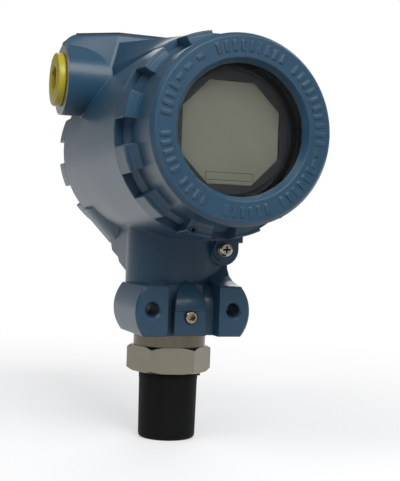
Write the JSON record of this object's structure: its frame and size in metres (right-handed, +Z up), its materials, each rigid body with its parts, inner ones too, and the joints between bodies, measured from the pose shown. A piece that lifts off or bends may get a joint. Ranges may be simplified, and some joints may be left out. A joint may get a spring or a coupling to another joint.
{
  "type": "pressure transmitter",
  "caption": "Blue cast housing with a round display window, side conduit entries, a two-eared mounting block and a capped steel pressure connection.",
  "frame": {"origin": "on the sensor's axis at the open end of the process nipple", "axes": "+Z up along the sensor's axis; the display faces -Y; the plugged conduit entry is at -X"},
  "size_m": [0.103, 0.1442, 0.1825],
  "materials": {
    "paint": "semi-gloss blue enamel",
    "rubber": "matte",
    "glass": "clear",
    "bare_aluminium": "machined",
    "black_plastic": "matte",
    "lcd": "grey, satin",
    "white_plastic": "matte",
    "board": "satin",
    "steel": "bright",
    "brass": "tinned",
    "yellow_plastic": "satin",
    "plate": "matte black",
    "stainless": "turned",
    "cable": "matte",
    "cap_plastic": "satin"
  },
  "bodies": {
    "housing_body": {"housing": "paint", "display_bezel": "black_plastic", "lcd_panel": "lcd", "lcd_backing": "white_plastic", "display_board": "board", "display_posts": "steel", "display_screws": "steel", "electronics_board": "board", "electronics_can": "steel", "board_chips": "black_plastic", "board_posts": "steel", "board_screws": "steel", "display_link": "black_plastic", "feedthrough_seals": "white_plastic", "feedthrough_pins": "brass", "terminal_block": "black_plastic", "terminal_clamps": "brass", "terminal_fixings": "steel", "nameplate": "plate", "nameplate_pins": "steel", "ground_washer": "steel", "sensor_lead": "cable"},
    "front_seal_body": {"front_cover_seal": "rubber"},
    "front_cover_body": {"front_cover": "paint", "window_gasket": "rubber", "window_glass": "glass", "glass_retaining_ring": "bare_aluminium"},
    "front_jam_body": {"front_jam_screw": "paint"},
    "rear_seal_body": {"rear_cover_seal": "rubber"},
    "rear_cover_body": {"rear_cover": "paint"},
    "rear_jam_body": {"rear_jam_screw": "paint"},
    "plug_seal_body": {"conduit_plug_seal": "rubber"},
    "plug_body": {"conduit_plug": "yellow_plastic"},
    "ground_screw_body": {"ground_screw": "steel"},
    "inner_ground_body": {"inner_ground_screw": "steel"},
    "lock_screw_body": {"sensor_lock_screw": "steel"},
    "sensor_module": {"sensor_body": "stainless", "isolating_diaphragm": "stainless", "sensor_capsule": "stainless", "header_pins": "brass", "sensor_board": "board", "neck_seal": "rubber"},
    "cap_body": {"process_cap": "cap_plastic"},
    "terminal_screw_1_body": {"terminal_screw_1": "steel"},
    "terminal_screw_2_body": {"terminal_screw_2": "steel"},
    "terminal_screw_3_body": {"terminal_screw_3": "steel"},
    "terminal_screw_4_body": {"terminal_screw_4": "steel"}
  },
  "joints": [
    {"name": "front_cover_travel", "type": "slide", "parent": "housing_body", "child": "front_seal_body", "axis": [0, -1, 0], "range_m": [0, 0.0125]},
    {"name": "front_cover_turn", "type": "hinge", "parent": "front_seal_body", "child": "front_cover_body", "pos_m": [0, -0.06, 0.1292], "axis": [0, -1, 0], "range_deg": [0, 2160]},
    {"name": "front_jam_turn", "type": "hinge", "parent": "front_cover_body", "child": "front_jam_body", "pos_m": [-0.01164, -0.055, 0.09114], "axis": [0, -1, 0], "range_deg": [-360, 360]},
    {"name": "rear_cover_travel", "type": "slide", "parent": "housing_body", "child": "rear_seal_body", "axis": [0, 1, 0], "range_m": [0, 0.0125]},
    {"name": "rear_cover_turn", "type": "hinge", "parent": "rear_seal_body", "child": "rear_cover_body", "pos_m": [0, 0.055, 0.1292], "axis": [0, 1, 0], "range_deg": [0, 2160]},
    {"name": "rear_jam_turn", "type": "hinge", "parent": "rear_cover_body", "child": "rear_jam_body", "pos_m": [-0.01164, 0.051, 0.09114], "axis": [0, 1, 0], "range_deg": [-360, 360]},
    {"name": "plug_travel", "type": "slide", "parent": "housing_body", "child": "plug_seal_body", "axis": [-1, 0, 0], "range_m": [0, 0.0125]},
    {"name": "plug_turn", "type": "hinge", "parent": "plug_seal_body", "child": "plug_body", "pos_m": [-0.05, 0.019, 0.158], "axis": [-1, 0, 0], "range_deg": [0, 2880]},
    {"name": "ground_screw_turn", "type": "hinge", "parent": "housing_body", "child": "ground_screw_body", "pos_m": [0.0184, -0.019, 0.0836], "axis": [0, -1, 0], "range_deg": [-360, 360]},
    {"name": "inner_ground_turn", "type": "hinge", "parent": "housing_body", "child": "inner_ground_body", "pos_m": [0.016, 0.004, 0.1042], "axis": [0, 1, 0], "range_deg": [-360, 360]},
    {"name": "lock_screw_turn", "type": "hinge", "parent": "housing_body", "child": "lock_screw_body", "pos_m": [0, -0.028, 0.0544], "axis": [0, -1, 0], "range_deg": [-360, 360]},
    {"name": "sensor_turn", "type": "hinge", "parent": "housing_body", "child": "sensor_module", "pos_m": [0, 0, 0.05], "axis": [0, 0, 1], "range_deg": [-180, 180]},
    {"name": "cap_pull", "type": "slide", "parent": "sensor_module", "child": "cap_body", "axis": [0, 0, -1], "range_m": [0, 0.035]},
    {"name": "terminal_screw_1_turn", "type": "hinge", "parent": "housing_body", "child": "terminal_screw_1_body", "pos_m": [-0.018, 0.009, 0.1192], "axis": [0, 1, 0], "range_deg": [-360, 360]},
    {"name": "terminal_screw_2_turn", "type": "hinge", "parent": "housing_body", "child": "terminal_screw_2_body", "pos_m": [-0.006, 0.009, 0.1192], "axis": [0, 1, 0], "range_deg": [-360, 360]},
    {"name": "terminal_screw_3_turn", "type": "hinge", "parent": "housing_body", "child": "terminal_screw_3_body", "pos_m": [0.006, 0.009, 0.1192], "axis": [0, 1, 0], "range_deg": [-360, 360]},
    {"name": "terminal_screw_4_turn", "type": "hinge", "parent": "housing_body", "child": "terminal_screw_4_body", "pos_m": [0.018, 0.009, 0.1192], "axis": [0, 1, 0], "range_deg": [-360, 360]}
  ],
  "couplings": [
    {"joint": "front_cover_travel", "follows": "front_cover_turn", "m_per_rad": 0.00031831},
    {"joint": "rear_cover_travel", "follows": "rear_cover_turn", "m_per_rad": 0.00031831},
    {"joint": "plug_travel", "follows": "plug_turn", "m_per_rad": 0.00023873}
  ]
}
